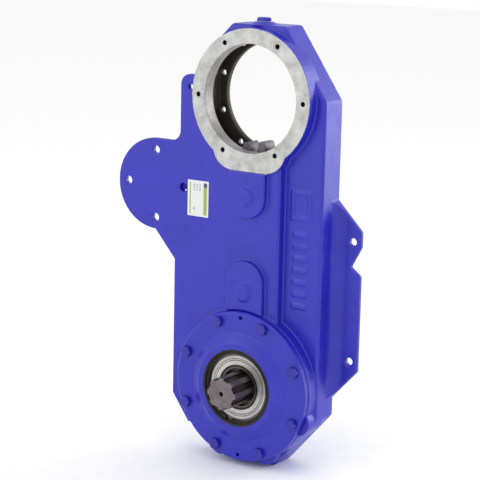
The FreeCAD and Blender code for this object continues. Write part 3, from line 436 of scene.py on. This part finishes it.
def crisp_copy(node, name, body, material, width):
    """A copy of a CAD node with small bevels along its sharp edges."""
    work = bmesh.new()
    work.from_mesh(nodes[node].data)
    bmesh.ops.remove_doubles(work, verts=work.verts, dist=1e-6)
    bmesh.ops.dissolve_limit(work, angle_limit=math.radians(0.5), verts=work.verts, edges=work.edges)
    welded = bpy.data.meshes.new(name + "_welded")
    work.to_mesh(welded)
    work.free()
    source = bpy.data.objects.new(name + "_source", welded)
    scene.collection.objects.link(source)
    bevel = source.modifiers.new("edges", "BEVEL")
    bevel.width = width
    bevel.segments = 2
    bevel.limit_method = "ANGLE"
    bevel.angle_limit = math.radians(32)
    bevel.use_clamp_overlap = True
    bevel.harden_normals = True
    mesh = baked(source)
    bpy.data.meshes.remove(welded)
    mesh.name = name
    stand_in_for(node, name, mesh, body, material)


def islands(work):
    """The separate solids of a mesh, as lists of vertex places, in the order of the mesh."""
    seen = set()
    for first in work.verts:
        if first in seen:
            continue
        seen.add(first)
        found = [first]
        for vertex in found:
            for edge in vertex.link_edges:
                other = edge.other_vert(vertex)
                if other not in seen:
                    seen.add(other)
                    found.append(other)
        yield [vertex.co for vertex in found]


def bolt_profile(top, foot, head, corner, shank, facing):
    """Height and greatest radius of each ring of a bolt, from the middle of its head to its foot."""
    flat = corner * math.cos(math.pi / 6)
    seat = top - facing * head
    chamfer = [(top - facing * drop * head, flat * 0.93 + drop * head * 1.7)
               for drop in (0.04, 0.08, 0.13, 0.19, 0.26)]
    washer_face = [(seat + facing * 0.0003, flat * 0.95), (seat, flat * 0.95)]
    return [(top, flat * 0.62), (top, flat * 0.93), *chamfer, (seat + facing * 0.0004, corner),
            *washer_face, (seat, shank), (foot, shank)]


def add_bolt(work, places, head, facing):
    """A bolt where the plain one with these vertex places stands; it faces -Y or +Y."""
    xs, ys, zs = ([place[axis] for place in places] for axis in range(3))
    centre_x = (min(xs) + max(xs)) / 2
    centre_z = (min(zs) + max(zs)) / 2
    top, foot = (min(ys), max(ys)) if facing < 0 else (max(ys), min(ys))

    def reach_of(place):
        return math.hypot(place.x - centre_x, place.z - centre_z)

    corner_place = max(places, key=reach_of)
    corner = reach_of(corner_place)
    start = math.atan2(corner_place.z - centre_z, corner_place.x - centre_x)
    shank = max(reach_of(place) for place in places if abs(place.y - foot) < 1e-5)
    flat = corner * math.cos(math.pi / 6)
    rings = []
    for height, limit in bolt_profile(top, foot, head, corner, shank, facing):
        ring = []
        for step in range(BOLT_STEPS):
            turn = math.tau * step / BOLT_STEPS
            reach = min(limit, flat / math.cos(turn % (math.pi / 3) - math.pi / 6))
            ring.append(work.verts.new((centre_x + reach * math.cos(start + turn), height,
                                        centre_z + reach * math.sin(start + turn))))
        rings.append(ring)
    for one, two in zip(rings, rings[1:]):
        for step in range(BOLT_STEPS):
            following = (step + 1) % BOLT_STEPS
            work.faces.new((one[step], one[following], two[following], two[step]))
    work.faces.new(rings[0])
    work.faces.new(rings[-1])


def chamfered_bolts(node, name, body, material, head, facing):
    """Hex bolts along Y with chamfered corners and a washer face, one on each plain CAD bolt."""
    plain = bmesh.new()
    plain.from_mesh(nodes[node].data)
    bmesh.ops.remove_doubles(plain, verts=plain.verts, dist=1e-6)
    work = bmesh.new()
    for places in islands(plain):
        add_bolt(work, places, head, facing)
    plain.free()
    bmesh.ops.recalc_face_normals(work, faces=work.faces)
    for face in work.faces:
        face.smooth = True
    for edge in work.edges:
        edge.smooth = edge.calc_face_angle(0) < math.radians(24)
    mesh = bpy.data.meshes.new(name)
    work.to_mesh(mesh)
    work.free()
    stand_in_for(node, name, mesh, body, material)


def cast_copy(node, name, body, material, voxel, rounds, share):
    """A copy of a CAD node with the soft edges of a casting."""
    source = bpy.data.objects.new(name + "_source", nodes[node].data.copy())
    scene.collection.objects.link(source)
    remesh = source.modifiers.new("grid", "REMESH")
    remesh.mode = "VOXEL"
    remesh.voxel_size = voxel
    smooth = source.modifiers.new("soft", "SMOOTH")
    smooth.factor = 0.5
    smooth.iterations = rounds
    thin = source.modifiers.new("thin", "DECIMATE")
    thin.ratio = share
    mesh = baked(source)
    mesh.name = name
    mesh.shade_smooth()
    stand_in_for(node, name, mesh, body, material)


# ---------------------------------------------------------------- light and floor
def pale_floor():
    mesh = bpy.data.meshes.new("floor")
    work = bmesh.new()
    bmesh.ops.create_grid(work, x_segments=8, y_segments=8, size=12)
    work.to_mesh(mesh)
    work.free()
    floor = bpy.data.objects.new("floor", mesh)
    floor.location.z = FLOOR_Z - 0.0005
    scene.collection.objects.link(floor)
    s = Shader("pale_floor")
    colour = s.ramp(s.noise(30, 4, 0.6), (0.3, (0.92, 0.92, 0.92)), (0.7, (0.95, 0.95, 0.95)))
    give(floor, s.finish(colour, 0.8, 0.0))


def soft_light():
    """A white surrounding, a key light behind the right side, and two weak fills."""
    world = bpy.data.worlds.new("studio")
    scene.world = world
    world.use_nodes = True
    background = world.node_tree.nodes["Background"]
    background.inputs["Color"].default_value = (1, 1, 1, 1)
    background.inputs["Strength"].default_value = 1.0
    middle = Vector((0, 0.03, -0.25))
    for name, place, size, power in (
        ("key", (2.1, 2.9, 0.5), 2.2, 56),
        ("fill", (-2.2, -3.4, 1.0), 2.6, 26),
        ("top", (1.2, -1.0, 3.2), 2.2, 16),
    ):
        data = bpy.data.lights.new(name, "AREA")
        data.size = size
        data.energy = power
        light = bpy.data.objects.new(name, data)
        light.location = place
        light.rotation_euler = (middle - Vector(place)).to_track_quat("-Z", "Y").to_euler()
        scene.collection.objects.link(light)


# ---------------------------------------------------------------- build
photograph_camera()
pale_floor()
soft_light()

casting = housing_material()
enamel = paint_material("blue_enamel")
cover_enamel = cover_material()
# the bolt heads get a darker copy of the enamel: painted shade round the heads
bolt_enamel_painted_shade = paint_material("bolt_enamel_painted_shade", 0.72)
gear_steel = steel_material("gear_steel", (0.11, 0.10, 0.12), (0.24, 0.225, 0.25), 0.48, metallic=0.6)
splined_steel = shaft_material()
shaft_steel = steel_material("turned_steel", (0.16, 0.145, 0.135), (0.30, 0.275, 0.26), 0.34, OUTPUT.z)
race_steel = steel_material("ground_bearing_steel", (0.22, 0.215, 0.20), (0.36, 0.35, 0.33), 0.30,
                            OUTPUT.z)
bearing_face = bearing_face_material()
dark_steel = steel_material("phosphated_spring_steel", (0.018, 0.017, 0.016), (0.045, 0.042, 0.040),
                            0.42)
dull_steel = steel_material("plated_fastener_steel", (0.30, 0.30, 0.31), (0.46, 0.46, 0.47), 0.40)
ball_steel = steel_material("polished_ball_steel", (0.66, 0.66, 0.67), (0.80, 0.80, 0.81), 0.14)
rubber = rubber_material()
gasket = gasket_material()
label = label_material()


def finish_of(name):
    """The material of a CAD node, from its name."""
    if "o_ring" in name:
        return rubber
    if "gasket" in name:
        return gasket
    if "balls" in name:
        return ball_steel
    if "circlip" in name:
        return dark_steel
    if name == "type_label":
        return label
    if name == "output_cover":
        return cover_enamel
    if name == "housing":
        return casting
    if name in ("output_cover_bolts", "breather_plug", "rear_bearing_cap"):
        return enamel
    if name in ("front_bearing_shield", "front_bearing_inner_ring", "front_bearing_outer_ring"):
        return bearing_face
    if name == "output_shaft":
        return splined_steel
    if "bearing" in name:
        return race_steel
    if name.endswith("_gear"):
        return gear_steel
    if "screws" in name or "bolts" in name or "plug" in name or "washer" in name:
        return dull_steel
    return shaft_steel


for name, node in nodes.items():
    give(node, finish_of(name))

cast_copy("housing", "cast_housing", "housing", casting, 0.0013, 5, 0.155)
cast_copy("output_cover", "cast_output_cover", "housing", cover_enamel, 0.0010, 4, 0.30)
chamfered_bolts("output_cover_bolts", "cover_hex_bolts", "housing", bolt_enamel_painted_shade, 0.0075, -1)
chamfered_bolts("rear_cap_bolts", "rear_cap_hex_bolts", "housing", dull_steel, 0.0053, 1)
for node, body, width in (
    ("output_shaft", "output", 0.0007), ("output_gear", "output", 0.0006),
    ("upper_idler_gear", "upper_idler", 0.0006), ("lower_idler_gear", "lower_idler", 0.0006),
    ("breather_plug", "housing", 0.0007), ("breather_washer", "housing", 0.0003),
    ("drain_plug", "housing", 0.0005), ("rear_bearing_cap", "housing", 0.0010),
    ("upper_idler_axle", "housing", 0.0008), ("lower_idler_axle", "housing", 0.0008),
    ("upper_idler_axle_screws", "housing", 0.0004), ("lower_idler_axle_screws", "housing", 0.0004),
    ("front_bearing_inner_ring", "output", 0.0008), ("front_bearing_outer_ring", "housing", 0.0006),
    ("front_bearing_circlip", "housing", 0.0004), ("front_bearing_shield", "housing", 0.0002),
):
    crisp_copy(node, "finished_" + node, body, finish_of(node), width)
